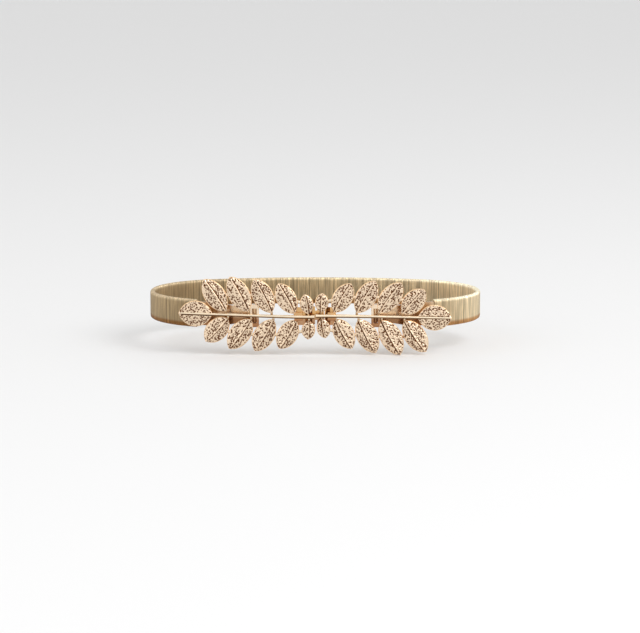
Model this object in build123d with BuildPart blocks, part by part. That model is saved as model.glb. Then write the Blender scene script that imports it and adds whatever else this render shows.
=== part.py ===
from build123d import *
import os
from math import asin, atan2, cos, degrees, radians, sin, sqrt

# Leaf spray tieback: two leaf castings, hinged on the ends of a coiled spring band and clasped in front.
# Frame: +X to the right seen from the front, the front faces -Y, +Z up, origin in the middle of the loop.
# All sizes are in millimetres.

# Loop, measured over the outer face of the band
LOOP_WIDTH = 180.0
LOOP_DEPTH = 104.0
FRONT_RADIUS = 200.0

# Spring band, one wire wound flat with its turns side by side
BAND_HEIGHT = 15.0
BAND_THICKNESS = 2.6
WIRE_THICKNESS = 0.6
RIB_PITCH = 3.4
RIB_DEPTH = 0.25
MOUTH_PAST_JOIN = 6.0

# End clips, sheet folded double round the hinge pin and plugged into the band
CLIP_SLIT = 0.1
CLIP_PLAY = 0.05
KNUCKLE_HEIGHT = 7.4
CLIP_TAPER_START = 6.0
CLIP_TAPER_LENGTH = 12.0
TONGUE_LENGTH = 12.0

# Hinges behind the two castings
HINGE_FROM_CENTRE = 32.0
PIN_DIAMETER = 1.3
PIN_PLAY = 0.05
BAR_HEIGHT = 12.0
BAR_WIDTH = 4.8
WINDOW_WIDTH = 2.4
BAR_FRONT = 0.9
BAR_BACK = 0.8
EAR_WALL = 0.65
EAR_PLAY = 0.2
KNUCKLE_GAP = 0.4

# Castings: lean of the outer end to the back, and tilt of stem and leaves round a point along the stem
RAKE = 2.8
TILT = 1.6
TILT_PIVOT = 23.0
STEM_SIDES = 8
STEM_RADIUS = 1.0
STEM_TIP_RADIUS = 0.4
STEM_STANDOFF = 1.5
STEM_GAP = 0.5
STEM_LENGTH = 71.0

LEAF_STALK = 1.7
STALK_WIDTH = 1.2
STALK_HEIGHT = 1.5
LEAF_EDGE = 1.1
LEAF_RIDGE = 1.9
VEIN_WIDTH = 0.9
VEIN_RAISE = 0.35
VEIN_SHORT = 1.6

# Leaf outline: runs on each side, and its two curve controls as shares of the blade's length and width
LEAF_RUNS = 10
FOOT_ALONG = 0.20
FOOT_ACROSS = 0.69
TIP_ALONG = 0.84
TIP_ACROSS = 0.64

# Side leaves from the clasp outwards: foot along the stem, blade length, lean from the upright and width
UPPER_LEAVES = [
    (9.9, 17.8, 29.2, 10.7),
    (22.0, 19.7, 28.8, 11.0),
    (33.8, 20.1, 34.6, 11.2),
    (46.1, 17.5, 41.8, 11.3),
]
LOWER_LEAVES = [
    (10.8, 18.3, 30.5, 10.7),
    (23.0, 20.3, 28.8, 11.2),
    (35.3, 21.3, 29.8, 11.5),
    (47.4, 20.6, 35.7, 11.4),
]

# Small leaves beside the clasp, in the same order of values
SMALL_STALK = 1.6
UPPER_SMALL = (3.2, 10.2, 1.4, 7.2)
LOWER_SMALL = (3.6, 10.8, 11.1, 7.2)

# Leaf at the outer end of each stem
END_LEAF_START = 54.3
END_LEAF_LENGTH = 18.2
END_LEAF_WIDTH = 13.7
END_LEAF_RIDGE = 1.7

# Bridges that tie each leaf to the next, inside the blades
BRIDGE_WIDTH = 1.6
BRIDGE_HEIGHT = 0.9

# Clasp: a lip on the left casting stands through a slot on the right one
CLASP_SHEET = 0.8
CLASP_HEIGHT = 9.5
CLASP_BEND = 0.6
CLASP_PLAY = 0.35
TONGUE_GAP = 0.3
SEAT_START = 6.5
SEAT_END = 11.0
SEAT_HEIGHT = 4.4
CATCH_DROP = 2.2
CATCH_END = 1.2
CATCH_BEND_START = 5.9
HOOK_PAD_END = 5.2
HOOK_BEND_END = 1.5
LIP_FROM_CENTRE = 3.9
LIP_HEIGHT = 5.0
LIP_REACH = 1.3

# Loop outline: gentle arcs in front and behind, tighter arcs at the sides, all tangent
half_width = LOOP_WIDTH / 2
half_depth = LOOP_DEPTH / 2
front_centre_y = FRONT_RADIUS - half_depth
side_radius = (2 * FRONT_RADIUS * half_depth - half_width**2 - half_depth**2) / (
    2 * (FRONT_RADIUS - half_width)
)
side_centre_x = half_width - side_radius
join_angle = degrees(atan2(side_centre_x, front_centre_y))
front_path_radius = FRONT_RADIUS - BAND_THICKNESS / 2
side_path_radius = side_radius - BAND_THICKNESS / 2
mouth_angle = join_angle + degrees(MOUTH_PAST_JOIN / side_path_radius)
tongue_angle = mouth_angle + degrees(TONGUE_LENGTH / side_path_radius)
pin_angle = degrees(asin(HINGE_FROM_CENTRE / front_path_radius))
pin_y = front_centre_y - sqrt(front_path_radius**2 - HINGE_FROM_CENTRE**2)

# Fits between the band, the clips, the pins and the castings
cavity_thickness = BAND_THICKNESS - 2 * WIRE_THICKNESS
cavity_height = BAND_HEIGHT - 2 * WIRE_THICKNESS
clip_sheet = (cavity_thickness - CLIP_SLIT) / 2 - CLIP_PLAY
clip_thickness = 2 * clip_sheet + CLIP_SLIT
tongue_height = BAND_HEIGHT - BAND_THICKNESS
knuckle_radius = PIN_DIAMETER / 2 + PIN_PLAY + clip_sheet
ear_radius = PIN_DIAMETER / 2 + EAR_WALL
pin_setback = BAR_BACK + KNUCKLE_GAP + knuckle_radius

# Back plane of the right casting: local x runs outwards along the stem, y up and z to the front
rake = radians(RAKE)
outwards = Vector(cos(rake), sin(rake), 0)
forwards = Vector(sin(rake), -cos(rake), 0)
hinge_along = (HINGE_FROM_CENTRE + pin_setback * sin(rake)) / cos(rake)
pin_point = Vector(HINGE_FROM_CENTRE, pin_y, 0)
casting_plane = Plane(
    pin_point - outwards * hinge_along + forwards * pin_setback, x_dir=outwards, z_dir=forwards
)

# The same plane turned for the stem and its leaves, which drop towards the outer end
along_stem = outwards * cos(radians(TILT)) - Vector(0, 0, sin(radians(TILT)))
tilt_point = casting_plane.from_local_coords(Vector(TILT_PIVOT, 0, 0))
spray_plane = Plane(tilt_point - along_stem * TILT_PIVOT, x_dir=along_stem, z_dir=forwards)
stem_flat = cos(radians(180 / STEM_SIDES))
stem_taper = degrees(atan2((STEM_RADIUS - STEM_TIP_RADIUS) * stem_flat, STEM_LENGTH))


def leaf_plane(foot, rise, turn):
    """Back plane of one leaf from its foot, with x along the midrib; turn is from the stem, upwards."""
    axis = spray_plane.x_dir * cos(radians(turn)) + spray_plane.y_dir * sin(radians(turn))
    return Plane(spray_plane.from_local_coords(Vector(foot, rise, 0)), x_dir=axis, z_dir=forwards)


def leaf_outline(length, width):
    """Pointed oval from the foot to the tip along the local x axis, in short runs on a smooth curve."""
    curve = Edge.make_bezier(
        (0, 0),
        (FOOT_ALONG * length, FOOT_ACROSS * width),
        (TIP_ALONG * length, TIP_ACROSS * width),
        (length, 0),
    )
    with BuildSketch() as outline:
        with BuildLine():
            Polyline(*[curve @ (run / LEAF_RUNS) for run in range(LEAF_RUNS + 1)])
            mirror(about=Plane.XZ)
        make_face()
    return outline.sketch


def leaf(plane, length, width, ridge):
    """One leaf: a blade with two slopes up to its midrib and a tapering vein that stands on the ridge."""
    across = Plane(plane.origin, x_dir=plane.y_dir, z_dir=plane.x_dir)
    half = width / 2
    with BuildPart() as solid:
        with BuildSketch(plane):
            add(leaf_outline(length, width))
        extrude(amount=ridge)
        with BuildSketch(across):
            Polygon((-half, 0), (half, 0), (half, LEAF_EDGE), (0, ridge), (-half, LEAF_EDGE), align=None)
        extrude(amount=length, mode=Mode.INTERSECT)
        with BuildSketch(plane):
            Polygon((0, -VEIN_WIDTH / 2), (length - VEIN_SHORT, 0), (0, VEIN_WIDTH / 2), align=None)
        extrude(amount=ridge + VEIN_RAISE)
    return solid.part


def leaf_row(leaves, small, side):
    """Planes, lengths and widths of one row of leaves; side is +1 above the stem and -1 below."""
    row = []
    rises = [SMALL_STALK] + [LEAF_STALK] * len(leaves)
    for rise, (foot, length, lean, width) in zip(rises, [small] + leaves):
        plane = leaf_plane(foot, side * rise, side * (90 - lean))
        row.append((plane, length, width))
    return row


def blade_middle(plane, length):
    """Middle of a blade on the casting's back plane."""
    return casting_plane.to_local_coords(plane.from_local_coords(Vector(length / 2, 0, 0)))


# Right casting: stem, leaves, stalks, bridges, clasp seat and hinge frame with its two ears
upper_row = leaf_row(UPPER_LEAVES, UPPER_SMALL, 1)
lower_row = leaf_row(LOWER_LEAVES, LOWER_SMALL, -1)
blades = [leaf(plane, length, width, LEAF_RIDGE) for plane, length, width in upper_row + lower_row]
feet = [spray_plane.to_local_coords(plane.origin) for plane, _, _ in upper_row + lower_row]
end_leaf = leaf(leaf_plane(END_LEAF_START, 0, 0), END_LEAF_LENGTH, END_LEAF_WIDTH, END_LEAF_RIDGE)
stem_start = Plane(
    spray_plane.from_local_coords(Vector(STEM_GAP / 2, 0, STEM_STANDOFF)),
    x_dir=spray_plane.y_dir,
    z_dir=along_stem,
)
ear_plane = Plane(casting_plane.origin, x_dir=outwards, z_dir=(0, 0, 1))
ear_bottom = KNUCKLE_HEIGHT / 2 + EAR_PLAY

with BuildPart() as right_branch:
    with BuildSketch(stem_start):
        RegularPolygon(STEM_RADIUS, STEM_SIDES)
    extrude(amount=STEM_LENGTH, taper=stem_taper)
    add(blades + [end_leaf])
    with BuildSketch(spray_plane):
        for foot in feet:
            with Locations((foot.X, foot.Y)):
                Rectangle(STALK_WIDTH, 2 * abs(foot.Y) + STALK_WIDTH)
    extrude(amount=STALK_HEIGHT)
    for row in (upper_row, lower_row):
        middles = [blade_middle(plane, length) for plane, length, _ in row]
        for inner, outer in zip(middles, middles[1:]):
            run = outer - inner
            bridge_plane = Plane(
                casting_plane.from_local_coords((inner + outer) / 2),
                x_dir=outwards * run.X + Vector(0, 0, run.Y),
                z_dir=forwards,
            )
            with BuildSketch(bridge_plane):
                Rectangle(run.length, BRIDGE_WIDTH)
            extrude(amount=BRIDGE_HEIGHT)
    with BuildSketch(casting_plane):
        with Locations(((SEAT_START + SEAT_END) / 2, 0)):
            Rectangle(SEAT_END - SEAT_START, SEAT_HEIGHT)
    extrude(amount=STEM_STANDOFF)
    with BuildSketch(casting_plane.offset(-BAR_BACK)):
        with Locations((hinge_along, 0)):
            Rectangle(BAR_WIDTH, BAR_HEIGHT)
            Rectangle(WINDOW_WIDTH, 2 * ear_bottom, mode=Mode.SUBTRACT)
    extrude(amount=BAR_BACK + BAR_FRONT)
    for bottom in (ear_bottom, -BAR_HEIGHT / 2):
        with BuildSketch(ear_plane.offset(bottom)):
            with Locations((hinge_along, pin_setback)):
                Circle(ear_radius)
            with Locations((hinge_along, (pin_setback + BAR_BACK) / 2)):
                Rectangle(2 * ear_radius, pin_setback - BAR_BACK)
        extrude(amount=BAR_HEIGHT / 2 - ear_bottom)
    with Locations(pin_point):
        Cylinder(PIN_DIAMETER / 2, 2 * BAR_HEIGHT, mode=Mode.SUBTRACT)

# Left casting: the same form turned half round about the front to back axis
with BuildPart() as left_branch:
    add(right_branch.part.rotate(Axis.Y, 180))

# Hinge pins, held in the ears
with BuildPart() as right_hinge_pin:
    with Locations(pin_point):
        Cylinder(PIN_DIAMETER / 2, BAR_HEIGHT)

with BuildPart() as left_hinge_pin:
    mirror(right_hinge_pin.part, about=Plane.YZ)

# Right end clip: knuckle round the pin and two sheets side by side into the mouth of the band
with BuildLine() as clip_path:
    CenterArc((0, front_centre_y), front_path_radius, pin_angle - 90, join_angle - pin_angle)
    CenterArc((side_centre_x, 0), side_path_radius, join_angle - 90, tongue_angle - join_angle)

clip_wire = clip_path.wire()
clip_start = Plane(clip_wire.position_at(0), x_dir=(0, 0, 1), z_dir=clip_wire.tangent_at(0))
taper_start = HINGE_FROM_CENTRE + CLIP_TAPER_START
taper_end = taper_start + CLIP_TAPER_LENGTH

with BuildPart() as right_end_clip:
    with BuildSketch(clip_start):
        Rectangle(tongue_height, clip_thickness)
    sweep(path=clip_wire)
    with BuildSketch(Plane.XZ) as taper_cut:
        with BuildLine():
            Polyline(
                (0, KNUCKLE_HEIGHT / 2),
                (taper_start, KNUCKLE_HEIGHT / 2),
                (taper_end, tongue_height / 2),
                (0, tongue_height / 2),
                close=True,
            )
        make_face()
        mirror(about=Plane.XZ)
    extrude(amount=LOOP_DEPTH, mode=Mode.SUBTRACT)
    with Locations(pin_point):
        Cylinder(knuckle_radius, KNUCKLE_HEIGHT)
        Cylinder(PIN_DIAMETER / 2 + PIN_PLAY, KNUCKLE_HEIGHT, mode=Mode.SUBTRACT)
    with BuildSketch(clip_start):
        Rectangle(tongue_height, CLIP_SLIT)
    sweep(path=clip_wire, mode=Mode.SUBTRACT)

with BuildPart() as left_end_clip:
    mirror(right_end_clip.part, about=Plane.YZ)

# Spring band: a flat tube from mouth to mouth round the back, ribbed across by its turns
with BuildLine() as band_path:
    CenterArc((side_centre_x, 0), side_path_radius, mouth_angle - 90, 180 - mouth_angle - join_angle)
    CenterArc((0, -front_centre_y), front_path_radius, 90 - join_angle, 2 * join_angle)
    CenterArc((-side_centre_x, 0), side_path_radius, 90 + join_angle, 180 - mouth_angle - join_angle)

band_wire = band_path.wire()
rib_count = round(band_wire.length / RIB_PITCH)


def band_plane(share):
    """Plane across the band at a share of its length: local x is up and y is across the wall."""
    return Plane(band_wire.position_at(share), x_dir=(0, 0, 1), z_dir=band_wire.tangent_at(share))


def flat_section(height, thickness):
    """Flat section of the coil with its two narrow edges rounded off by facets."""
    with BuildSketch() as section:
        Rectangle(height, thickness)
        chamfer(section.vertices(), thickness * (2 - sqrt(2)) / 2)
    return section.sketch


rib_sections = [
    flat_section(BAND_HEIGHT, BAND_THICKNESS),
    flat_section(BAND_HEIGHT - 2 * RIB_DEPTH, BAND_THICKNESS - 2 * RIB_DEPTH),
]

with BuildPart() as spring_band:
    for step in range(2 * rib_count + 1):
        with BuildSketch(band_plane(step / (2 * rib_count))):
            add(rib_sections[step % 2])
    loft(ruled=True, clean=False)
    with BuildSketch(band_plane(0)):
        add(flat_section(cavity_height, cavity_thickness))
    sweep(path=band_wire, clean=False, mode=Mode.SUBTRACT)

# Clasp plates, bent from sheet and drawn in plan
def back_face(along, depth):
    """Point in plan behind the right casting, at a distance along its stem and a depth behind it."""
    return casting_plane.from_local_coords(Vector(along, 0, -depth))


def bent_sheet(points, side):
    """Face in plan of a sheet bent along the points, with its thickness on the given side."""
    with BuildSketch() as section:
        with BuildLine():
            FilletPolyline(*points, radius=CLASP_BEND)
            offset(amount=CLASP_SHEET, side=side)
        make_face()
    return section.sketch


catch_back = CATCH_DROP + CLASP_SHEET
catch_points = [
    back_face(SEAT_END, 0),
    back_face(CATCH_BEND_START + CATCH_DROP, 0),
    back_face(CATCH_BEND_START, CATCH_DROP),
    back_face(CATCH_END, CATCH_DROP),
]
slot_width = CLASP_SHEET + 2 * CLASP_PLAY
slot_middle = LIP_FROM_CENTRE + CLASP_SHEET / 2

with BuildPart() as catch_plate:
    with BuildSketch(Plane.XY.offset(-CLASP_HEIGHT / 2)):
        add(bent_sheet(catch_points, Side.RIGHT))
    extrude(amount=CLASP_HEIGHT)
    with BuildSketch(Plane.XZ):
        with Locations((slot_middle, 0)):
            Rectangle(slot_width, LIP_HEIGHT + 2 * CLASP_PLAY)
    extrude(amount=LOOP_DEPTH, mode=Mode.SUBTRACT)

tongue_front = back_face(LIP_FROM_CENTRE, catch_back + TONGUE_GAP)
lip_tip = back_face(LIP_FROM_CENTRE, CATCH_DROP - LIP_REACH)
hook_seat = [back_face(SEAT_END, 0), back_face(HOOK_PAD_END, 0)]
hook_points = [Vector(-point.X, point.Y, 0) for point in hook_seat] + [
    Vector(-HOOK_BEND_END, tongue_front.Y, 0),
    Vector(LIP_FROM_CENTRE, tongue_front.Y, 0),
    Vector(LIP_FROM_CENTRE, lip_tip.Y, 0),
]

with BuildPart() as hook_plate:
    with BuildSketch(Plane.XY.offset(-CLASP_HEIGHT / 2)):
        add(bent_sheet(hook_points, Side.LEFT))
    extrude(amount=CLASP_HEIGHT)
    with BuildSketch(Plane.XZ):
        for side in (1, -1):
            with Locations((0, side * (LIP_HEIGHT + CLASP_HEIGHT) / 4)):
                Rectangle(
                    LOOP_WIDTH, (CLASP_HEIGHT - LIP_HEIGHT) / 2, align=(Align.MIN, Align.CENTER)
                )
    extrude(amount=LOOP_DEPTH, mode=Mode.SUBTRACT)

pieces = {
    "left_branch": left_branch,
    "right_branch": right_branch,
    "hook_plate": hook_plate,
    "catch_plate": catch_plate,
    "left_hinge_pin": left_hinge_pin,
    "right_hinge_pin": right_hinge_pin,
    "left_end_clip": left_end_clip,
    "right_end_clip": right_end_clip,
    "spring_band": spring_band,
}
os.makedirs("parts", exist_ok=True)
for name, piece in pieces.items():
    piece.part.label = name
    export_step(piece.part, f"parts/{name}.step")
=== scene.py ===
from math import atan2, cos, hypot, pi, radians, sin, sqrt

import bmesh
import bpy
from bpy.props import FloatProperty, FloatVectorProperty, IntProperty, PointerProperty
from mathutils import Matrix, Vector, noise


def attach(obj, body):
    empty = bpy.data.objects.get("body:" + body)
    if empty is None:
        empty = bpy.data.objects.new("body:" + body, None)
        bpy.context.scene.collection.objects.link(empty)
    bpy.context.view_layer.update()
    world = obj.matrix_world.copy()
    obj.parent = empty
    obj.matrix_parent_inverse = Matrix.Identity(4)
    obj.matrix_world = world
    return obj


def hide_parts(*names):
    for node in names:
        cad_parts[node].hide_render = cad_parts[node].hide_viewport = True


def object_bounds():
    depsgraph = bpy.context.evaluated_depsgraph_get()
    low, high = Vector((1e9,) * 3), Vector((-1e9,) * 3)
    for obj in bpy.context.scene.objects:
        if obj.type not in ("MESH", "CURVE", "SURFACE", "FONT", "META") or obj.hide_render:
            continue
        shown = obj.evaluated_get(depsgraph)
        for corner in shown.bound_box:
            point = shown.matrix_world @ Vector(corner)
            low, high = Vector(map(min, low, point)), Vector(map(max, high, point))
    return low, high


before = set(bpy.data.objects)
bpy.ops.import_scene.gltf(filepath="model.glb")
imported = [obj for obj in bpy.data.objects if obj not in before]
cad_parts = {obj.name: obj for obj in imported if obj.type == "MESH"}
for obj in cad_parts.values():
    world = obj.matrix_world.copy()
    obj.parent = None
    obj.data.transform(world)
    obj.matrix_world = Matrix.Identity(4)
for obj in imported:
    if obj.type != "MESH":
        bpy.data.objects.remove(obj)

bl_info = {
    "name": "Leaf Spray Tieback",
    "version": (1, 0, 0),
    "blender": (4, 5, 0),
    "location": "View3D > Sidebar > Tieback",
    "description": "Grained leaf castings, a flat coiled band and the fittings that join them",
    "category": "Add Mesh",
}

CAD_BOX = [list(corner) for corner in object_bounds()]
MM = 0.001

# Loop: gentle arcs in front and behind, tighter arcs at the sides
HALF_WIDTH = 90.0 * MM
HALF_DEPTH = 52.0 * MM
FRONT_RADIUS = 200.0 * MM
BAND_HEIGHT = 15.0 * MM
BAND_THICKNESS = 2.6 * MM
MOUTH_PAST_JOIN = 6.0 * MM

# Coil: steps round each end of a flat turn, and how near two turns' ends are when they are joined
TURN_END_STEPS = 5
TURN_JOIN = 0.005 * MM

# Hinge behind each casting: pin, ears and the upright frame that carries them
HINGE_FROM_CENTRE = 32.0 * MM
PIN_RADIUS = 0.65 * MM
PIN_SETBACK = 2.5 * MM
EAR_RADIUS = 1.3 * MM
EAR_BOTTOM = 3.9 * MM
EAR_SIDES = 28
EAR_NECK_SHORT = 0.15 * MM
EAR_NECK_EDGE = 0.12 * MM
BAR_HEIGHT = 12.0 * MM
BAR_WIDTH = 4.8 * MM
BAR_FRONT = 0.9 * MM
BAR_BACK = 0.8 * MM
BAR_EDGE = 0.25 * MM
WINDOW_WIDTH = 2.4 * MM

# Castings: stem, stalks and leaves, all measured from the back plane of the casting
RAKE = radians(2.8)
TILT = radians(1.6)
TILT_PIVOT = 23.0 * MM
STEM_START = 0.25 * MM
STEM_LENGTH = 71.0 * MM
STEM_RADIUS = 1.0 * MM
STEM_TIP_RADIUS = 0.65 * MM
STEM_STANDOFF = 1.5 * MM
STEM_SIDES = 20
STEM_CUTS = 90

# The stem's inner end bends down a little, and its thickness wavers
STEM_BEND = 0.36 * MM
STEM_BEND_REACH = 28.0 * MM
STEM_WAVER = 0.05
STEM_WAVER_RUN = 3.0 * MM

# Stalks reach under the blades, this many times as far as the leaf's foot
STALK_REACH = 2
STALK_RADIUS = 0.66 * MM
STALK_TIP_RADIUS = 0.54 * MM
STALK_STANDOFF = 0.85 * MM
STALK_SIDES = 14

# Webs tie each leaf to the next, below the front of the blades
WEB_WIDTH = 1.6 * MM
WEB_THICKNESS = 0.8 * MM
WEB_STANDOFF = 0.5 * MM
WEB_EDGE = 0.25 * MM

# Pad between the stem and the clasp plate
PAD_START = 6.5 * MM
PAD_END = 11.0 * MM
PAD_HEIGHT = 4.4 * MM
PAD_EDGE = 0.3 * MM

# Leaves from the clasp outwards, the small one first, in millimetres and degrees:
# foot along the stem, foot from the stem, blade length, lean and width
UPPER_LEAVES = [
    (3.2, 1.6, 10.2, 1.4, 7.2),
    (9.9, 1.7, 17.8, 29.2, 10.7),
    (22.0, 1.7, 19.7, 28.8, 11.0),
    (33.8, 1.7, 20.1, 34.6, 11.2),
    (46.1, 1.7, 17.5, 41.8, 11.3),
]
LOWER_LEAVES = [
    (3.6, 1.6, 10.8, 11.1, 7.2),
    (10.8, 1.7, 18.3, 30.5, 10.7),
    (23.0, 1.7, 20.3, 28.8, 11.2),
    (35.3, 1.7, 21.3, 29.8, 11.5),
    (47.4, 1.7, 20.6, 35.7, 11.4),
]

# Leaf at the outer end of each stem
END_LEAF_START = 54.3 * MM
END_LEAF_LENGTH = 18.2 * MM
END_LEAF_WIDTH = 13.7 * MM
END_LEAF_RIDGE = 1.7 * MM

# Outline of a blade: its two curve controls as shares of length and width
FOOT_ALONG = 0.20
FOOT_ACROSS = 0.69
TIP_ALONG = 0.84
TIP_ACROSS = 0.64

# Section of a blade: curve of its slopes, rounded edge, raised rim, and where the grain inside it is full
ROOF_CURVE = 1.35
EDGE_ROUND = 0.3 * MM
RIM_RAISE = 0.06 * MM
RIM_CREST = 0.2 * MM
RIM_INSIDE = 0.42 * MM
GRAIN_FULL = 0.5 * MM

# Near the foot and the tip, this share of the way along counts as the way to the edge
TIP_SHARE = 0.8

# Vertices of a blade that are nearer than this are joined, and it has no fewer cells than this each way
BLADE_JOIN = 0.004 * MM
FEWEST_CELLS = 12

# Midrib: half widths of its top and foot, and shares of the blade where it is full, fades and ends
RIB_TOP = 0.14 * MM
RIB_FOOT = 0.34 * MM
RIB_FULL = 0.04
RIB_FADES = 0.8
RIB_ENDS = 0.95

# A leaf of this length, in millimetres, has the midrib's full bow
BOW_LENGTH = 20

# Groove beside the midrib, cut less deep on the upper leaves, and shares of its half width where it falls
GROOVE_DEPTH = 0.22 * MM
UPPER_GROOVE_DEPTH = 0.13 * MM
GROOVE_OFFSET = 0.62 * MM
GROOVE_HALF_WIDTH = 0.42 * MM
GROOVE_LIP = 0.1
GROOVE_BED = 0.8

# Grain: pits longer along the leaf than across it, with radii as shares of the grain size,
# and depths that vary from pit to pit
GRAIN_STRETCH = 1.3
PIT_BED = 0.27
PIT_LIP = 0.64
PIT_DEPTH = 0.95
PIT_SPREAD = 0.6
PIT_LEAST = 0.3
PIT_FREQUENCY = 3.7

# Lumps and a slow swell of the grained face, and the height of the grain that lies on the plain slope
LUMP_SHARE = 0.55
LUMP_FREQUENCY = 1.9
LUMP_SHIFT = Vector((7.3, 1.9, 4.1))
SWELL = 0.16
SWELL_FREQUENCY = 0.3
GRAIN_LEVEL = 0.6

# How far the grain and the groove darken the blade, as painted shade in the pits and in the groove, and how
# far the midrib is toned down
GRAIN_TONE = 0.86
RIB_TONE = 0.4
GROOVE_SHADE = 0.9

# Materials of a casting, by index
GRAINED, STEM, HINGE_FRAME, PAD, BACK = range(5)

# Corners of the smooth metal that are eased, and those that are shaded as sharp
EASED_CORNER = radians(60)
SHARP_CORNER = radians(50)

# Upward part of a normal where the painted shade on the underside of the stem is full, and where it ends
UNDERSIDE_SHADE_FULL = -0.6
UNDERSIDE_SHADE_ENDS = 0.2

# Usual range of the values of a noise texture
NOISE_LOW = 0.3
NOISE_HIGH = 0.7

# Painted shade on the smooth platings below the stem: tints that make them darker and browner there
FRAME_SHADE_BELOW = (0.46, 0.28, 0.18)
PAD_SHADE_BELOW = (0.62, 0.46, 0.46)
CLIP_SHADE_BELOW = (0.46, 0.33, 0.25)
CLASP_SHADE_BELOW = (0.68, 0.62, 0.75)

# Stage: floor, lamps and world
FLOOR_HALF = 6.0
FLOOR_GAP = 0.2 * MM
FLOOR_ROUGHNESS = 0.9
LAMP_SIZE = 1.5
KEY_PLACE = (1.3, -1.2, 1.4)
KEY_POWER = 22.0
FILL_PLACE = (-1.3, -1.0, 0.7)
FILL_POWER = 3.0
WORLD_LIGHT = 0.8

# Camera: width of the picture and offset of its aim in pixels, and how far before the back plane it aims
PICTURE_WIDTH = 640
AIM_RIGHT = 4.9
AIM_UP = 0.3
AIM_FRONT = 2.0 * MM


def frame_of(x_axis, y_axis, z_axis, origin):
    """Matrix of a frame with the given axes and origin."""
    place = Matrix((x_axis, y_axis, z_axis)).transposed().to_4x4()
    place.translation = origin
    return place


# Loop outline, and lengths along the middle of the band from its right mouth
half_band = BAND_THICKNESS / 2
front_centre = FRONT_RADIUS - HALF_DEPTH
side_radius = (2 * FRONT_RADIUS * HALF_DEPTH - HALF_WIDTH**2 - HALF_DEPTH**2) / (
    2 * (FRONT_RADIUS - HALF_WIDTH)
)
side_centre = HALF_WIDTH - side_radius
join_angle = atan2(side_centre, front_centre)
front_path = FRONT_RADIUS - half_band
side_path = side_radius - half_band
mouth_angle = join_angle + MOUTH_PAST_JOIN / side_path
side_run = (pi - mouth_angle - join_angle) * side_path
back_run = 2 * join_angle * front_path
band_length = 2 * side_run + back_run

# Frames of the two castings: x outwards along the stem, y up and z to the front
pin_y = front_centre - sqrt(front_path**2 - HINGE_FROM_CENTRE**2)
hinge_along = (HINGE_FROM_CENTRE + PIN_SETBACK * sin(RAKE)) / cos(RAKE)
outwards = Vector((cos(RAKE), sin(RAKE), 0))
upwards = Vector((0, 0, 1))
forwards = Vector((sin(RAKE), -cos(RAKE), 0))
pin_place = Vector((HINGE_FROM_CENTRE, pin_y, 0))
casting_origin = pin_place - outwards * hinge_along + forwards * PIN_SETBACK
right_casting = frame_of(outwards, upwards, forwards, casting_origin)
left_casting = Matrix.Rotation(pi, 4, "Y") @ right_casting

# The stem and its leaves drop a little towards the outer end of the casting
to_pivot = Matrix.Translation((TILT_PIVOT, 0, 0))
spray = to_pivot @ Matrix.Rotation(-TILT, 4, "Z") @ to_pivot.inverted()


class CastingSettings(bpy.types.PropertyGroup):
    """Sizes and platings of the leaf castings, and the painted shades of their pits and rims"""

    leaf_edge: FloatProperty(
        name="Leaf edge",
        description="Thickness of a leaf at its edge",
        default=1.1 * MM,
        unit="LENGTH",
        precision=5,
    )
    leaf_ridge: FloatProperty(
        name="Leaf ridge",
        description="Thickness of a leaf at its midrib",
        default=1.9 * MM,
        unit="LENGTH",
        precision=5,
    )
    vein_raise: FloatProperty(
        name="Midrib",
        description="Height of the midrib above the blade",
        default=0.3 * MM,
        unit="LENGTH",
        precision=5,
    )
    vein_bow: FloatProperty(
        name="Midrib bow",
        description="Bow of the midrib towards the clasp",
        default=0.5 * MM,
        unit="LENGTH",
        precision=5,
    )
    grain_size: FloatProperty(
        name="Grain size",
        description="Width of one grain of the blade",
        default=0.8 * MM,
        unit="LENGTH",
        precision=5,
    )
    grain_depth: FloatProperty(
        name="Grain depth",
        description="Depth of the pits between grains",
        default=0.32 * MM,
        unit="LENGTH",
        precision=5,
    )
    mesh_step: FloatProperty(
        name="Mesh step",
        description="Spacing of the blade's vertices",
        default=0.165 * MM,
        unit="LENGTH",
        precision=5,
    )
    grain_colour: FloatVectorProperty(
        name="Grain colour",
        description="Plating on the grains",
        subtype="COLOR",
        default=(0.88, 0.695, 0.505),
    )
    # Painted shade: the colour drawn down in the pits of the grain
    pit_shade_colour: FloatVectorProperty(
        name="Pit colour",
        description="Plating down in the pits",
        subtype="COLOR",
        default=(0.12, 0.042, 0.012),
    )
    # Painted warm shade and reflection: the colour drawn round the blades and on their walls
    rim_reflection_and_shade_colour: FloatVectorProperty(
        name="Rim colour",
        description="Plating round the blades",
        subtype="COLOR",
        default=(0.88, 0.58, 0.30),
    )
    stem_colour: FloatVectorProperty(
        name="Stem colour",
        description="Plating on the smooth stem",
        subtype="COLOR",
        default=(1.0, 0.85, 0.64),
    )
    frame_colour: FloatVectorProperty(
        name="Frame colour",
        description="Plating of the hinge frame",
        subtype="COLOR",
        default=(0.94, 0.75, 0.55),
    )
    pad_colour: FloatVectorProperty(
        name="Pad colour",
        description="Plating of the pad by the clasp",
        subtype="COLOR",
        default=(0.72, 0.43, 0.2),
    )
    back_colour: FloatVectorProperty(
        name="Back colour",
        description="Plating on the backs of the leaves",
        subtype="COLOR",
        default=(0.80, 0.56, 0.33),
    )


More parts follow.
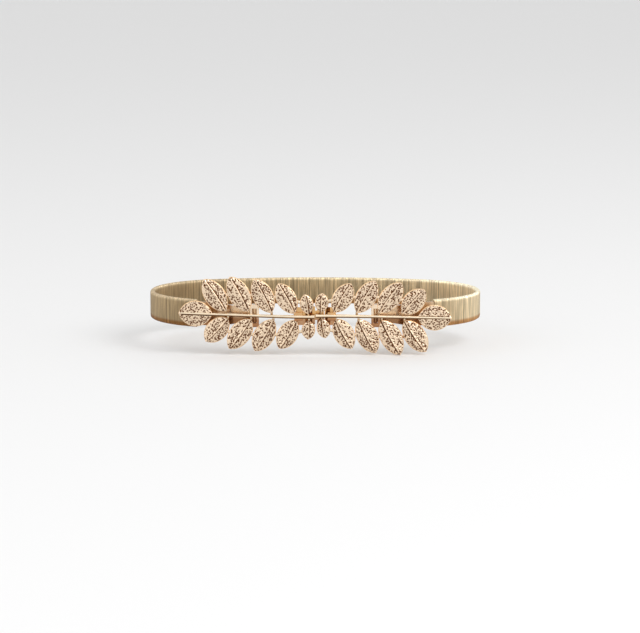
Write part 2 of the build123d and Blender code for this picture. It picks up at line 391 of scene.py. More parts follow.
class BandSettings(bpy.types.PropertyGroup):
    """Wire of the band, and platings of the band and its fittings"""

    wire: FloatProperty(
        name="Wire",
        description="Diameter of the close-wound wire",
        default=0.65 * MM,
        unit="LENGTH",
        precision=5,
    )
    pitch: FloatProperty(
        name="Pitch",
        description="Advance of the coil in one turn",
        default=0.66 * MM,
        unit="LENGTH",
        precision=5,
    )
    wire_sides: IntProperty(
        name="Wire sides",
        description="Sides of the wire's section",
        default=6,
    )
    band_colour: FloatVectorProperty(
        name="Band colour",
        description="Satin plating of the coil",
        subtype="COLOR",
        default=(0.68, 0.55, 0.34),
    )
    clip_colour: FloatVectorProperty(
        name="Clip colour",
        description="Plating of the end clips",
        subtype="COLOR",
        default=(0.72, 0.51, 0.32),
    )
    clasp_colour: FloatVectorProperty(
        name="Clasp colour",
        description="Polished plating of the clasp",
        subtype="COLOR",
        default=(0.76, 0.47, 0.21),
    )


class StageSettings(bpy.types.PropertyGroup):
    """Camera and floor"""

    distance: FloatProperty(
        name="Distance",
        description="From the camera to the leaf sprays",
        default=1.6,
        unit="LENGTH",
    )
    elevation: FloatProperty(
        name="Elevation",
        description="Height of the camera as an angle",
        default=radians(8.2),
        subtype="ANGLE",
    )
    pixel: FloatProperty(
        name="Pixel",
        description="Width of one pixel at the leaf sprays",
        default=0.5285 * MM,
        unit="LENGTH",
        precision=6,
    )
    floor_colour: FloatVectorProperty(
        name="Floor colour",
        description="Pale floor",
        subtype="COLOR",
        default=(0.86, 0.86, 0.86),
    )


def smooth_step(low, high, value):
    """Rises from 0 at low to 1 at high without corners."""
    share = min(1.0, max(0.0, (value - low) / (high - low)))
    return share * share * (3 - 2 * share)


def bezier(t, first, second, end):
    """One coordinate of a cubic curve that starts at 0."""
    return 3 * t * (1 - t) ** 2 * first + 3 * t * t * (1 - t) * second + t**3 * end


def only(kind, geometry):
    """The vertices or the edges among what an operator made."""
    return [item for item in geometry if isinstance(item, kind)]


def each_once(items):
    """List of the items without repeats, in the order they come."""
    return list(dict.fromkeys(items))


def edges_of(verts):
    """All edges that touch the given vertices."""
    return each_once(edge for vert in verts for edge in vert.link_edges)


def finish_mesh(bm, name, body, materials):
    """Turns a bmesh into a piece that rides on a body of the frame."""
    mesh = bpy.data.meshes.new(name)
    bm.to_mesh(mesh)
    bm.free()
    piece = bpy.data.objects.new(name, mesh)
    bpy.context.collection.objects.link(piece)
    for material in materials:
        mesh.materials.append(material)
    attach(piece, body)
    return piece


def grain_height(point, size):
    """Height from 0 to 1 of the cast grain: rounded pits of uneven depth in a gently lumpy face."""
    where = Vector((point.x / GRAIN_STRETCH, point.y, point.z)) / size
    distances, centres = noise.voronoi(where)
    depth = PIT_DEPTH + PIT_SPREAD * noise.noise(centres[0] * PIT_FREQUENCY)
    pit = min(1.0, max(PIT_LEAST, depth)) * (1 - smooth_step(PIT_BED, PIT_LIP, distances[0]))
    lump = 0.5 + 0.5 * noise.noise(where * LUMP_FREQUENCY + LUMP_SHIFT)
    swell = SWELL * noise.noise(where * SWELL_FREQUENCY)
    return max(0.0, (1 - pit) * (1 - LUMP_SHARE + LUMP_SHARE * lump) + swell)


def add_blade(bm, settings, placement, length, width, ridge, bow, groove_depth):
    """One leaf: a roof-shaped blade with a grained face, a smooth rim and a bowed midrib beside a groove."""
    columns = max(FEWEST_CELLS, round(length / settings.mesh_step))
    rows = max(FEWEST_CELLS, 2 * round(width / settings.mesh_step / 2))
    painted_shade = bm.verts.layers.float["painted_shade"]
    top = bmesh.ops.create_grid(bm, x_segments=columns, y_segments=rows, size=0.5)["verts"]
    groove_side = -1 if bow < 0 else 1
    # Painted shade in the groove, weaker on the upper leaves where the groove is cut less deep
    groove_shade = GROOVE_SHADE * groove_depth / GROOVE_DEPTH
    seed = placement.translation.x + 2 * placement.translation.y
    for vert in top:
        t = min(1.0, max(0.0, vert.co.x + 0.5))
        side = 2 * vert.co.y
        half = bezier(t, FOOT_ACROSS * width, TIP_ACROSS * width, 0)
        along = bezier(t, FOOT_ALONG * length, TIP_ALONG * length, length)
        across = side * half
        rib_line = bow * 4 * along * (length - along) / length**2
        from_rib = (across - rib_line) * groove_side
        edge_gap = min((1 - abs(side)) * half, TIP_SHARE * along, TIP_SHARE * (length - along))

        rib_fade = smooth_step(0.0, RIB_FULL, t) * (1 - smooth_step(RIB_FADES, RIB_ENDS, t))
        on_rib = (1 - smooth_step(RIB_TOP, RIB_FOOT, abs(from_rib))) * rib_fade
        groove_share = 1 - abs(from_rib - GROOVE_OFFSET) / GROOVE_HALF_WIDTH
        in_groove = smooth_step(GROOVE_LIP, GROOVE_BED, groove_share) * rib_fade
        on_rim = smooth_step(0.0, RIM_CREST, edge_gap) * (1 - smooth_step(RIM_CREST, RIM_INSIDE, edge_gap))
        on_face = smooth_step(RIM_CREST, GRAIN_FULL, edge_gap) * (1 - on_rib)
        grain = grain_height(Vector((along, across, seed)), settings.grain_size)

        height = settings.leaf_edge + (ridge - settings.leaf_edge) * (1 - abs(side) ** ROOF_CURVE)
        height += settings.vein_raise * on_rib - groove_depth * in_groove + RIM_RAISE * on_rim
        height -= EDGE_ROUND * (1 - smooth_step(0.0, EDGE_ROUND, edge_gap))
        height += settings.grain_depth * on_face * (grain - GRAIN_LEVEL)
        vert.co = (along, across, height)
        # The value is lower in the pits of the grain and in the groove, as painted shade, and on the midrib;
        # it is full at the rims
        bright = 1 - on_face * (1 - GRAIN_TONE * grain) - RIB_TONE * on_rib
        vert[painted_shade] = bright * (1 - groove_shade * in_groove)
    bmesh.ops.remove_doubles(bm, verts=top, dist=BLADE_JOIN)
    top = [vert for vert in top if vert.is_valid]
    border = [edge for edge in edges_of(top) if edge.is_boundary]
    walls = bmesh.ops.extrude_edge_only(bm, edges=border)["geom"]
    foot = only(bmesh.types.BMVert, walls)
    foot_edges = only(bmesh.types.BMEdge, walls)
    for vert in foot:
        vert.co.z = 0
        # The walls take the rim's colour, a painted warm shade and reflection
        vert[painted_shade] = 1.0
    back = bmesh.ops.contextual_create(bm, geom=foot_edges)["faces"]
    for edge in foot_edges:
        edge.smooth = False
    bmesh.ops.transform(bm, matrix=placement, verts=top + foot)
    return back


def add_rod(bm, placement, radius, tip_radius, length, segments):
    """Tapered rod along the local x axis."""
    turn = Matrix.Translation((length / 2, 0, 0)) @ Matrix.Rotation(pi / 2, 4, "Y")
    return bmesh.ops.create_cone(
        bm,
        cap_ends=True,
        segments=segments,
        radius1=radius,
        radius2=tip_radius,
        depth=length,
        matrix=placement @ turn,
    )["verts"]


def ease_edges(bm, edges, width):
    """Rounds the given edges over."""
    bmesh.ops.bevel(
        bm,
        geom=edges,
        offset=width,
        segments=2,
        profile=0.5,
        affect="EDGES",
        material=-1,
        clamp_overlap=True,
    )


def add_block(bm, placement, size, edge):
    """Block with eased edges, centred on the placement."""
    verts = bmesh.ops.create_cube(bm, size=1.0)["verts"]
    bmesh.ops.scale(bm, vec=size, verts=verts)
    bmesh.ops.transform(bm, matrix=placement, verts=verts)
    ease_edges(bm, edges_of(verts), edge)


def add_ear(bm, bottom, height):
    """Ring round the pin with a neck that joins it to the hinge frame."""
    centre = Matrix.Translation((hinge_along, bottom, -PIN_SETBACK)) @ Matrix.Rotation(-pi / 2, 4, "X")
    circles = []
    for radius in (EAR_RADIUS, PIN_RADIUS):
        circles += bmesh.ops.create_circle(bm, segments=EAR_SIDES, radius=radius, matrix=centre)["verts"]
    ring = bmesh.ops.bridge_loops(bm, edges=edges_of(circles))["faces"]
    lifted = bmesh.ops.extrude_face_region(bm, geom=ring, use_keep_orig=True)["geom"]
    bmesh.ops.translate(bm, vec=(0, height, 0), verts=only(bmesh.types.BMVert, lifted))
    reach = PIN_SETBACK - PIN_RADIUS - EAR_NECK_SHORT
    neck = Matrix.Translation((hinge_along, bottom + height / 2, -reach / 2))
    add_block(bm, neck, (2 * EAR_RADIUS, height, reach), EAR_NECK_EDGE)


def add_hinge_frame(bm):
    """Upright frame behind the stem, with a window over the pin and eased edges."""
    place = Matrix.Translation((hinge_along, 0, -BAR_BACK))
    outlines = []
    for width, height in ((BAR_WIDTH, BAR_HEIGHT), (WINDOW_WIDTH, 2 * EAR_BOTTOM)):
        verts = bmesh.ops.create_grid(bm, x_segments=1, y_segments=1, size=0.5)["verts"]
        bmesh.ops.scale(bm, vec=(width, height, 1), verts=verts)
        bmesh.ops.transform(bm, matrix=place, verts=verts)
        bmesh.ops.delete(bm, geom=verts[0].link_faces[:], context="FACES_ONLY")
        outlines += verts
    back = bmesh.ops.bridge_loops(bm, edges=edges_of(outlines))["faces"]
    grown = bmesh.ops.extrude_face_region(bm, geom=back, use_keep_orig=True)["geom"]
    front = only(bmesh.types.BMVert, grown)
    bmesh.ops.translate(bm, vec=(0, 0, BAR_FRONT + BAR_BACK), verts=front)
    edges = edges_of(front + outlines)
    solid = each_once(face for edge in edges for face in edge.link_faces)
    bmesh.ops.recalc_face_normals(bm, faces=solid)
    ease_edges(bm, [edge for edge in edges if edge.calc_face_angle(0) > EASED_CORNER], BAR_EDGE)


def leaf_place(foot, rise, turn):
    """Frame of one leaf from its foot, with x along its midrib; turn is from the stem, upwards."""
    return spray @ Matrix.Translation((foot, rise, 0)) @ Matrix.Rotation(turn, 4, "Z")


def add_leaves(bm, settings):
    """All leaves of a casting; returns their backs, and the places in each row that the webs run between."""
    backs = []
    rows = []
    for leaves, side, groove in ((UPPER_LEAVES, 1, UPPER_GROOVE_DEPTH), (LOWER_LEAVES, -1, GROOVE_DEPTH)):
        middles = []
        for foot, rise, length, lean, width in leaves:
            place = leaf_place(foot * MM, side * rise * MM, side * radians(90 - lean))
            bow = side * settings.vein_bow * length / BOW_LENGTH
            backs += add_blade(
                bm, settings, place, length * MM, width * MM, settings.leaf_ridge, bow, groove
            )
            middles.append(place @ Vector((length * MM / 2, 0, WEB_STANDOFF)))
        rows.append(middles)
    end = leaf_place(END_LEAF_START, 0, 0)
    backs += add_blade(
        bm, settings, end, END_LEAF_LENGTH, END_LEAF_WIDTH, END_LEAF_RIDGE, 0, GROOVE_DEPTH
    )
    return backs, rows


def add_stem(bm):
    """Tapered stem with a slight waver, bent down at its inner end."""
    first = len(bm.verts)
    start = Matrix.Translation((STEM_START, 0, 0))
    rod = add_rod(bm, start, STEM_RADIUS, STEM_TIP_RADIUS, STEM_LENGTH, STEM_SIDES)
    long_edges = [edge for edge in edges_of(rod) if edge.calc_length() > STEM_LENGTH / 2]
    bmesh.ops.subdivide_edges(bm, edges=long_edges, cuts=STEM_CUTS)
    bm.verts.ensure_lookup_table()
    rod = bm.verts[first:]
    for vert in rod:
        waver = 1 + STEM_WAVER * noise.noise(Vector((vert.co.x / STEM_WAVER_RUN, 0, 0)))
        vert.co.yz = vert.co.yz * waver
        vert.co.y -= STEM_BEND * max(0.0, 1 - vert.co.x / STEM_BEND_REACH) ** 2
    bmesh.ops.transform(bm, matrix=spray @ Matrix.Translation((0, 0, STEM_STANDOFF)), verts=rod)


def add_stalks(bm):
    """Round stalk from the stem to each side leaf."""
    for leaves, side in ((UPPER_LEAVES, 1), (LOWER_LEAVES, -1)):
        upright = Matrix.Rotation(side * pi / 2, 4, "Z")
        for foot, rise, *_ in leaves:
            place = spray @ Matrix.Translation((foot * MM, 0, STALK_STANDOFF)) @ upright
            add_rod(bm, place, STALK_RADIUS, STALK_TIP_RADIUS, STALK_REACH * rise * MM, STALK_SIDES)


def add_webs(bm, rows):
    """Web from each leaf to the next one in its row."""
    for middles in rows:
        for first, second in zip(middles, middles[1:]):
            run = second - first
            turn = Matrix.Rotation(atan2(run.y, run.x), 4, "Z")
            place = Matrix.Translation((first + second) / 2) @ turn
            add_block(bm, place, (run.length, WEB_WIDTH, WEB_THICKNESS), WEB_EDGE)


def add_hinge(bm):
    """Hinge frame and its two ears."""
    add_hinge_frame(bm)
    for bottom in (EAR_BOTTOM, -BAR_HEIGHT / 2):
        add_ear(bm, bottom, BAR_HEIGHT / 2 - EAR_BOTTOM)


def add_pad(bm):
    """Pad that stands from the back plane to the middle of the stem."""
    middle = Matrix.Translation(((PAD_START + PAD_END) / 2, 0, STEM_STANDOFF / 2))
    add_block(bm, middle, (PAD_END - PAD_START, PAD_HEIGHT, STEM_STANDOFF), PAD_EDGE)


def casting_mesh(settings):
    """One whole casting in its own frame: x along the stem, y up and z to the front."""
    bm = bmesh.new()
    bm.verts.layers.float.new("painted_shade")
    backs, rows = add_leaves(bm, settings)
    stem_faces = len(bm.faces)
    add_stem(bm)
    add_stalks(bm)
    add_webs(bm, rows)
    frame_faces = len(bm.faces)
    add_hinge(bm)
    pad_faces = len(bm.faces)
    add_pad(bm)

    bm.faces.ensure_lookup_table()
    for start, material in ((stem_faces, STEM), (frame_faces, HINGE_FRAME), (pad_faces, PAD)):
        for face in bm.faces[start:]:
            face.material_index = material
    for face in bm.faces:
        face.smooth = True
    for face in backs:
        face.smooth = False
        face.material_index = BACK
    for edge in bm.edges:
        bent = edge.is_manifold and edge.calc_face_angle() > SHARP_CORNER
        if bent and edge.link_faces[0].material_index != GRAINED:
            edge.smooth = False
    bmesh.ops.recalc_face_normals(bm, faces=bm.faces)
    return bm


def paint_underside_shade(bm):
    """Marks the smooth metal of stem, stalks and webs that faces down, where painted shade makes it darker
    and browner.
    """
    painted_shade = bm.verts.layers.float["painted_shade"]
    bm.normal_update()
    for vert in bm.verts:
        if any(face.material_index == STEM for face in vert.link_faces):
            vert[painted_shade] = smooth_step(UNDERSIDE_SHADE_FULL, UNDERSIDE_SHADE_ENDS, vert.normal.z)


def new_metal(name):
    """Material with a metal shader, ready for its colour and roughness."""
    material = bpy.data.materials.new(name)
    material.use_nodes = True
    tree = material.node_tree
    shader = tree.nodes["Principled BSDF"]
    shader.inputs["Metallic"].default_value = 1.0
    return material, tree, shader


def surface_noise(tree, size, detail=3.0, stretch=(1, 1, 1)):
    """Noise in the piece's own coordinates, with features of about the given size."""
    where = tree.nodes.new("ShaderNodeTexCoord")
    mapping = tree.nodes.new("ShaderNodeMapping")
    mapping.inputs["Scale"].default_value = stretch
    texture = tree.nodes.new("ShaderNodeTexNoise")
    texture.inputs["Scale"].default_value = 1 / size
    texture.inputs["Detail"].default_value = detail
    tree.links.new(where.outputs["Object"], mapping.inputs["Vector"])
    tree.links.new(mapping.outputs["Vector"], texture.inputs["Vector"])
    return texture.outputs["Fac"]


def blend_colours(tree, factor, stops):
    """Colour ramp of (place, colour) stops read by a factor."""
    ramp = tree.nodes.new("ShaderNodeValToRGB")
    elements = ramp.color_ramp.elements
    while len(elements) < len(stops):
        elements.new(0.5)
    for element, (place, colour) in zip(elements, stops):
        element.position = place
        element.color = (*colour, 1)
    tree.links.new(factor, ramp.inputs["Fac"])
    return ramp.outputs["Color"]


def spread(tree, factor, low, high):
    """Maps the usual range of a noise on to a range of values."""
    scale = tree.nodes.new("ShaderNodeMapRange")
    scale.inputs["From Min"].default_value = NOISE_LOW
    scale.inputs["From Max"].default_value = NOISE_HIGH
    scale.inputs["To Min"].default_value = low
    scale.inputs["To Max"].default_value = high
    tree.links.new(factor, scale.inputs["Value"])
    return scale.outputs["Result"]


def multiply(tree, first, second):
    """Product of two colours."""
    mix = tree.nodes.new("ShaderNodeMix")
    mix.data_type = "RGBA"
    mix.blend_type = "MULTIPLY"
    mix.inputs["Factor"].default_value = 1.0
    tree.links.new(first, mix.inputs["A"])
    tree.links.new(second, mix.inputs["B"])
    return mix.outputs["Result"]


def tone_along(tree, axis, reach, stops):
    """Colour that changes along one axis of the frame, from -reach to reach."""
    where = tree.nodes.new("ShaderNodeTexCoord")
    split = tree.nodes.new("ShaderNodeSeparateXYZ")
    tree.links.new(where.outputs["Object"], split.inputs["Vector"])
    share = tree.nodes.new("ShaderNodeMapRange")
    share.inputs["From Min"].default_value = -reach
    share.inputs["From Max"].default_value = reach
    tree.links.new(split.outputs[axis], share.inputs["Value"])
    return blend_colours(tree, share.outputs["Result"], stops)


def tone_from(tree, attribute, stops):
    """Colour that follows a number stored on the mesh."""
    value = tree.nodes.new("ShaderNodeAttribute")
    value.attribute_name = attribute
    return blend_colours(tree, value.outputs["Fac"], stops)


def roughen(tree, shader, height, strength, depth):
    """Fine bump on a shader from a height."""
    bump = tree.nodes.new("ShaderNodeBump")
    bump.inputs["Strength"].default_value = strength
    bump.inputs["Distance"].default_value = depth
    tree.links.new(height, bump.inputs["Height"])
    tree.links.new(bump.outputs["Normal"], shader.inputs["Normal"])


def grained_gold(settings):
    """Pale plating on the grains of the blades, with painted shade down in the pits and in the groove, and a
    painted warm shade and reflection on the rims.
    """
    material, tree, shader = new_metal("grained_gold")
    grain = Vector(settings.grain_colour)
    pit = Vector(settings.pit_shade_colour)
    rim = Vector(settings.rim_reflection_and_shade_colour)
    shades = [(0.14, 0.0), (0.3, 0.25), (0.46, 0.72), (0.62, 1.0), (0.86, 1.0)]
    # Low values paint shade in the pits; the top stop is the rim's painted warm shade and reflection
    stops = [(place, pit.lerp(grain, share)) for place, share in shades] + [(0.97, rim)]
    tree.links.new(tone_from(tree, "painted_shade", stops), shader.inputs["Base Color"])
    speckle = surface_noise(tree, 0.5 * MM)
    tree.links.new(spread(tree, speckle, 0.2, 0.36), shader.inputs["Roughness"])
    roughen(tree, shader, surface_noise(tree, 0.25 * MM, 2.0), strength=0.25, depth=0.06 * MM)
    return material


def smooth_gold(name, colour, roughness, drift, shade_attribute=None, skin=0.06, low=None):
    """Plating with a cast skin and some drift in tone and gloss over the given size.

    It takes painted shade, darker and browner, where the given attribute falls to 0, and painted shade from
    the low tint below the stem.
    """
    material, tree, shader = new_metal(name)
    colour = Vector(colour)
    stops = [(NOISE_LOW, colour * 0.82), (NOISE_HIGH, colour)]
    tone = blend_colours(tree, surface_noise(tree, drift), stops)
    if shade_attribute:
        # Painted shade on the undersides of stem, stalks and webs
        stops = [(0.0, (0.11, 0.06, 0.03)), (0.45, (0.55, 0.4, 0.27)), (0.85, (1, 1, 1))]
        tone = multiply(tree, tone, tone_from(tree, shade_attribute, stops))
    if low:
        # Painted shade below the stem: darker and browner towards the bottom
        stops = [(0.36, low), (0.56, (1, 1, 1))]
        tone = multiply(tree, tone, tone_along(tree, "Z", BAND_HEIGHT / 2, stops))
    tree.links.new(tone, shader.inputs["Base Color"])
    wear = surface_noise(tree, drift * 0.2)
    tree.links.new(spread(tree, wear, roughness * 0.75, roughness * 1.3), shader.inputs["Roughness"])
    roughen(tree, shader, surface_noise(tree, 0.3 * MM, 2.0), strength=skin, depth=0.02 * MM)
    return material


def coil_gold(settings):
    """Satin plating of the wire; its tone changes at random from turn to turn, with painted shade towards
    the left end and painted light towards the right, a painted highlight on the top edge and a painted warm
    reflection on the bottom edge.
    """
    material, tree, shader = new_metal("coil_gold")
    colour = Vector(settings.band_colour)
    streaks = surface_noise(tree, 0.75 * MM, stretch=(1, 1, 0.04))
    stops = [(NOISE_LOW, colour * 0.55), (0.5, colour * 0.9), (NOISE_HIGH, colour * 1.35)]
    tone = blend_colours(tree, streaks, stops)
    # Painted highlight along the top edge of the band and painted warm reflection along its bottom edge
    painted_edge_light = [
        (0.0, (0.62, 0.37, 0.18)),
        (0.13, (0.74, 0.5, 0.32)),
        (0.21, (1, 1, 1)),
        (0.87, (1, 1, 1)),
        (0.96, (1.5, 1.6, 1.8)),
    ]
    # Painted shade towards the left end of the band and painted light towards the right end
    drift = [(0.0, (0.62, 0.56, 0.51)), (0.45, (0.88, 0.85, 0.82)), (1.0, (1.12, 1.13, 1.2))]
    tone = multiply(tree, tone, tone_along(tree, "Z", BAND_HEIGHT / 2, painted_edge_light))
    tone = multiply(tree, tone, tone_along(tree, "X", HALF_WIDTH, drift))
    tree.links.new(tone, shader.inputs["Base Color"])
    wear = surface_noise(tree, 0.8 * MM)
    tree.links.new(spread(tree, wear, 0.36, 0.52), shader.inputs["Roughness"])
    roughen(tree, shader, surface_noise(tree, 0.2 * MM, 2.0), strength=0.15, depth=0.03 * MM)
    return material


class TIEBACK_OT_castings(bpy.types.Operator):
    """Models the two leaf castings: one form, turned half round for the left side"""

    bl_idname = "tieback.castings"
    bl_label = "Leaf Castings"

    def execute(self, context):
        settings = context.scene.tieback_castings
        materials = [
            grained_gold(settings),
            # The stem takes painted shade on its undersides; frame and pad take painted shade below the stem
            smooth_gold("stem_gold", settings.stem_colour, roughness=0.2, drift=4 * MM, shade_attribute="painted_shade"),
            smooth_gold("frame_gold", settings.frame_colour, roughness=0.2, drift=3 * MM, low=FRAME_SHADE_BELOW),
            smooth_gold("pad_gold", settings.pad_colour, roughness=0.2, drift=3 * MM, low=PAD_SHADE_BELOW),
            smooth_gold("back_gold", settings.back_colour, roughness=0.36, drift=5 * MM, skin=0.35),
        ]
        casting = casting_mesh(settings)
        turned = casting.copy()
        for bm, side, place in ((casting, "right", right_casting), (turned, "left", left_casting)):
            bmesh.ops.transform(bm, matrix=place, verts=bm.verts)
            # Painted shade on the undersides of stem, stalks and webs
            paint_underside_shade(bm)
            piece = finish_mesh(bm, f"{side}_leaf_casting", f"{side}_half", materials)
            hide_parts(f"{side}_branch")
        return {"FINISHED"}


def loop_point(distance, out, up):
    """Point on the band: distance along it from the right mouth, out from its middle line, and up."""
    if distance < side_run:
        centre_x, centre_y, radius = side_centre, 0, side_path
        angle = mouth_angle - pi / 2 + distance / side_path
    elif distance < side_run + back_run:
        centre_x, centre_y, radius = 0, -front_centre, front_path
        angle = pi / 2 - join_angle + (distance - side_run) / front_path
    else:
        centre_x, centre_y, radius = -side_centre, 0, side_path
        angle = pi / 2 + join_angle + (distance - side_run - back_run) / side_path
    return (centre_x + (radius + out) * cos(angle), centre_y + (radius + out) * sin(angle), up)


def turn_frames(wire, pitch):
    """Frames of the wire's section along one flat turn of the coil, laid out along x."""
    end_radius = (BAND_THICKNESS - wire) / 2
    straight = BAND_HEIGHT / 2 - wire / 2 - end_radius
    points = []
    for side in (1, -1):
        points.append((side * end_radius, -side * straight))
        for step in range(TURN_END_STEPS):
            angle = pi * step / TURN_END_STEPS
            points.append((side * end_radius * cos(angle), side * (straight + end_radius * sin(angle))))
    count = len(points)
    runs = [hypot(b[0] - a[0], b[1] - a[1]) for a, b in zip(points, points[1:] + points[:1])]
    total = sum(runs)
    frames = []
    walked = 0.0
    for index in range(count + 1):
        before = points[index % count - 1]
        here = points[index % count]
        after = points[(index + 1) % count]
        heading = Vector((0, after[0] - before[0], after[1] - before[1]))
        heading.x = heading.yz.length * pitch / total
        heading.normalize()
        along = Vector((1, 0, 0)) - heading * heading.x
        along.normalize()
        frames.append(frame_of(along, heading.cross(along), heading, (pitch * walked / total, *here)))
        walked += runs[index % count]
    return frames


def coil_mesh(settings):
    """One wire in flat turns, bent round the loop, with a corner of its section along the band."""
    turns = round((band_length - settings.wire) / settings.pitch)
    pitch = (band_length - settings.wire) / turns
    frames = turn_frames(settings.wire, pitch)
    bm = bmesh.new()
    section = bmesh.ops.create_circle(
        bm,
        segments=settings.wire_sides,
        radius=settings.wire / 2,
        matrix=frames[0] @ Matrix.Rotation(pi / 2, 4, "Z"),
    )["verts"]
    edges = edges_of(section)
    for before, after in zip(frames, frames[1:]):
        grown = bmesh.ops.extrude_edge_only(bm, edges=edges)["geom"]
        edges = [edge for edge in only(bmesh.types.BMEdge, grown) if edge.is_boundary]
        moved = only(bmesh.types.BMVert, grown)
        bmesh.ops.transform(bm, matrix=after @ before.inverted(), verts=moved)
    one_turn = bm.verts[:] + bm.edges[:] + bm.faces[:]
    for index in range(1, turns):
        copied = bmesh.ops.duplicate(bm, geom=one_turn)["geom"]
        moved = only(bmesh.types.BMVert, copied)
        bmesh.ops.translate(bm, vec=(index * pitch, 0, 0), verts=moved)
    bmesh.ops.remove_doubles(bm, verts=bm.verts, dist=TURN_JOIN)
    ends = [edge for edge in bm.edges if edge.is_boundary]
    bmesh.ops.holes_fill(bm, edges=ends, sides=settings.wire_sides)
    for vert in bm.verts:
        vert.co = loop_point(settings.wire / 2 + vert.co.x, vert.co.y, vert.co.z)
    for face in bm.faces:
        face.smooth = True
    bmesh.ops.recalc_face_normals(bm, faces=bm.faces)
    return bm


class TIEBACK_OT_spring_band(bpy.types.Operator):
    """Winds the spring band: one wire in flat turns, bent round the loop from mouth to mouth"""

    bl_idname = "tieback.spring_band"
    bl_label = "Spring Band"

    def execute(self, context):
        settings = context.scene.tieback_band
        piece = finish_mesh(coil_mesh(settings), "coiled_band", "loop", [coil_gold(settings)])
        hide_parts("spring_band")
        return {"FINISHED"}


class TIEBACK_OT_fittings(bpy.types.Operator):
    """Plates the end clips, the clasp plates and the hinge pins"""

    bl_idname = "tieback.fittings"
    bl_label = "Clips, Clasp and Pins"

    def execute(self, context):
        settings = context.scene.tieback_band
        # Clips and clasp take painted shade below the stem
        clip = smooth_gold("clip_gold", settings.clip_colour, roughness=0.26, drift=6 * MM, low=CLIP_SHADE_BELOW)
        clasp = smooth_gold("clasp_gold", settings.clasp_colour, roughness=0.18, drift=3 * MM, low=CLASP_SHADE_BELOW)
        finishes = {
            "left_end_clip": clip,
            "right_end_clip": clip,
            "hook_plate": clasp,
            "catch_plate": clasp,
            "left_hinge_pin": clasp,
            "right_hinge_pin": clasp,
        }
        for node, material in finishes.items():
            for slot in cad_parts[node].material_slots:
                slot.material = material
        return {"FINISHED"}


def add_floor(colour):
    """Plain floor just under the leaves."""
    bm = bmesh.new()
    bmesh.ops.create_grid(bm, x_segments=1, y_segments=1, size=FLOOR_HALF)
    bmesh.ops.translate(bm, vec=(0, 0, CAD_BOX[0][2] - FLOOR_GAP), verts=bm.verts)
    mesh = bpy.data.meshes.new("floor")
    bm.to_mesh(mesh)
    bm.free()
    floor = bpy.data.objects.new("floor", mesh)
    bpy.context.collection.objects.link(floor)
    paint = bpy.data.materials.new("floor_paint")
    paint.use_nodes = True
    shader = paint.node_tree.nodes["Principled BSDF"]
    shader.inputs["Base Color"].default_value = (*colour, 1)
    shader.inputs["Roughness"].default_value = FLOOR_ROUGHNESS
    mesh.materials.append(paint)


def larger(tree, first, second):
    """The larger of two values."""
    node = tree.nodes.new("ShaderNodeMath")
    node.operation = "MAXIMUM"
    tree.links.new(first, node.inputs[0])
    tree.links.new(second, node.inputs[1])
    return node.outputs["Value"]


def white_world():
    """World that shows white to the camera and in reflections, and lights the rest a little less."""
    world = bpy.data.worlds.new("studio")
    world.use_nodes = True
    tree = world.node_tree
    back = tree.nodes["Background"]
    back.inputs["Color"].default_value = (1, 1, 1, 1)
    rays = tree.nodes.new("ShaderNodeLightPath").outputs
    seen = larger(tree, rays["Is Camera Ray"], rays["Is Glossy Ray"])
    seen = larger(tree, seen, rays["Is Transmission Ray"])
    level = tree.nodes.new("ShaderNodeMapRange")
    level.inputs["To Min"].default_value = WORLD_LIGHT
    level.inputs["To Max"].default_value = 1.0
    tree.links.new(seen, level.inputs["Value"])
    tree.links.new(level.outputs["Result"], back.inputs["Strength"])
    return world


def add_lamp(name, place, power):
    """Square soft lamp that faces the middle of the loop."""
    lamp = bpy.data.lights.new(name, "AREA")
    lamp.shape = "SQUARE"
    lamp.size = LAMP_SIZE
    lamp.energy = power
    stand = bpy.data.objects.new(name, lamp)
    stand.location = place
    stand.rotation_euler = (-Vector(place)).to_track_quat("-Z", "Y").to_euler()
    bpy.context.collection.objects.link(stand)


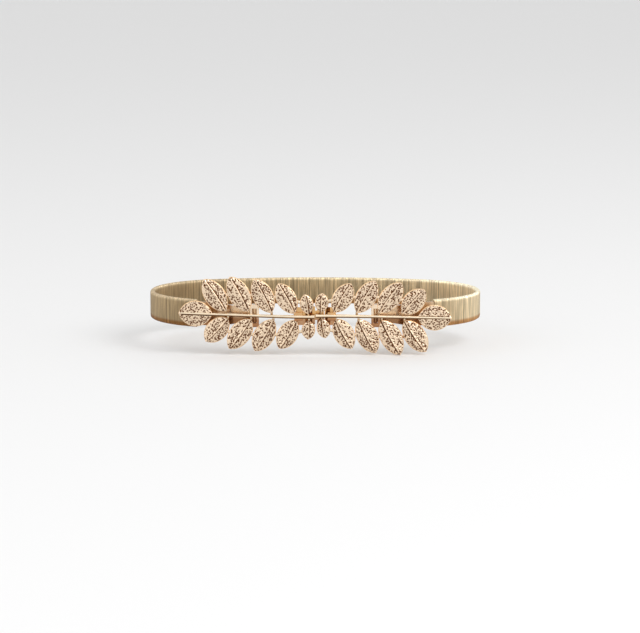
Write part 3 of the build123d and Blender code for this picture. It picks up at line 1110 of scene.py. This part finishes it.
def add_camera(settings):
    """Camera in front of the leaf sprays and a little above them, without roll."""
    camera_data = bpy.data.cameras.new("camera")
    camera_data.sensor_fit = "HORIZONTAL"
    camera_data.angle = 2 * atan2(PICTURE_WIDTH / 2 * settings.pixel, settings.distance)
    camera = bpy.data.objects.new("camera", camera_data)
    aim = Vector((AIM_RIGHT * settings.pixel, casting_origin.y - AIM_FRONT, AIM_UP * settings.pixel))
    away = Vector((0, -cos(settings.elevation), sin(settings.elevation)))
    camera.location = aim + away * settings.distance
    camera.rotation_euler = (-away).to_track_quat("-Z", "Y").to_euler()
    bpy.context.collection.objects.link(camera)
    return camera


class TIEBACK_OT_stage(bpy.types.Operator):
    """Sets the pale floor, the soft light and the camera"""

    bl_idname = "tieback.stage"
    bl_label = "Stage"

    def execute(self, context):
        scene = context.scene
        settings = scene.tieback_stage
        add_floor(settings.floor_colour)
        scene.world = white_world()
        add_lamp("key_lamp", KEY_PLACE, KEY_POWER)
        add_lamp("fill_lamp", FILL_PLACE, FILL_POWER)
        scene.camera = add_camera(settings)
        scene.view_settings.view_transform = "Standard"
        return {"FINISHED"}


class TIEBACK_PT_panel(bpy.types.Panel):
    """Lists the steps that build the tieback"""

    bl_idname = "TIEBACK_PT_panel"
    bl_label = "Leaf Spray Tieback"
    bl_space_type = "VIEW_3D"
    bl_region_type = "UI"
    bl_category = "Tieback"

    def draw(self, context):
        scene = context.scene
        for group in (scene.tieback_castings, scene.tieback_band, scene.tieback_stage):
            box = self.layout.box()
            for name in group.__annotations__:
                box.prop(group, name)
        for step in STEPS:
            self.layout.operator(step.bl_idname)


STEPS = (TIEBACK_OT_castings, TIEBACK_OT_spring_band, TIEBACK_OT_fittings, TIEBACK_OT_stage)
CLASSES = (CastingSettings, BandSettings, StageSettings, *STEPS, TIEBACK_PT_panel)


def register():
    """Adds the classes and the scene's settings."""
    for cls in CLASSES:
        bpy.utils.register_class(cls)
    bpy.types.Scene.tieback_castings = PointerProperty(type=CastingSettings)
    bpy.types.Scene.tieback_band = PointerProperty(type=BandSettings)
    bpy.types.Scene.tieback_stage = PointerProperty(type=StageSettings)


def unregister():
    """Takes the settings and the classes away again."""
    del bpy.types.Scene.tieback_stage
    del bpy.types.Scene.tieback_band
    del bpy.types.Scene.tieback_castings
    for cls in reversed(CLASSES):
        bpy.utils.unregister_class(cls)


def main():
    """Builds the whole scene."""
    register()
    bpy.ops.tieback.castings()
    bpy.ops.tieback.spring_band()
    bpy.ops.tieback.fittings()
    bpy.ops.tieback.stage()


if __name__ == "__main__":
    main()
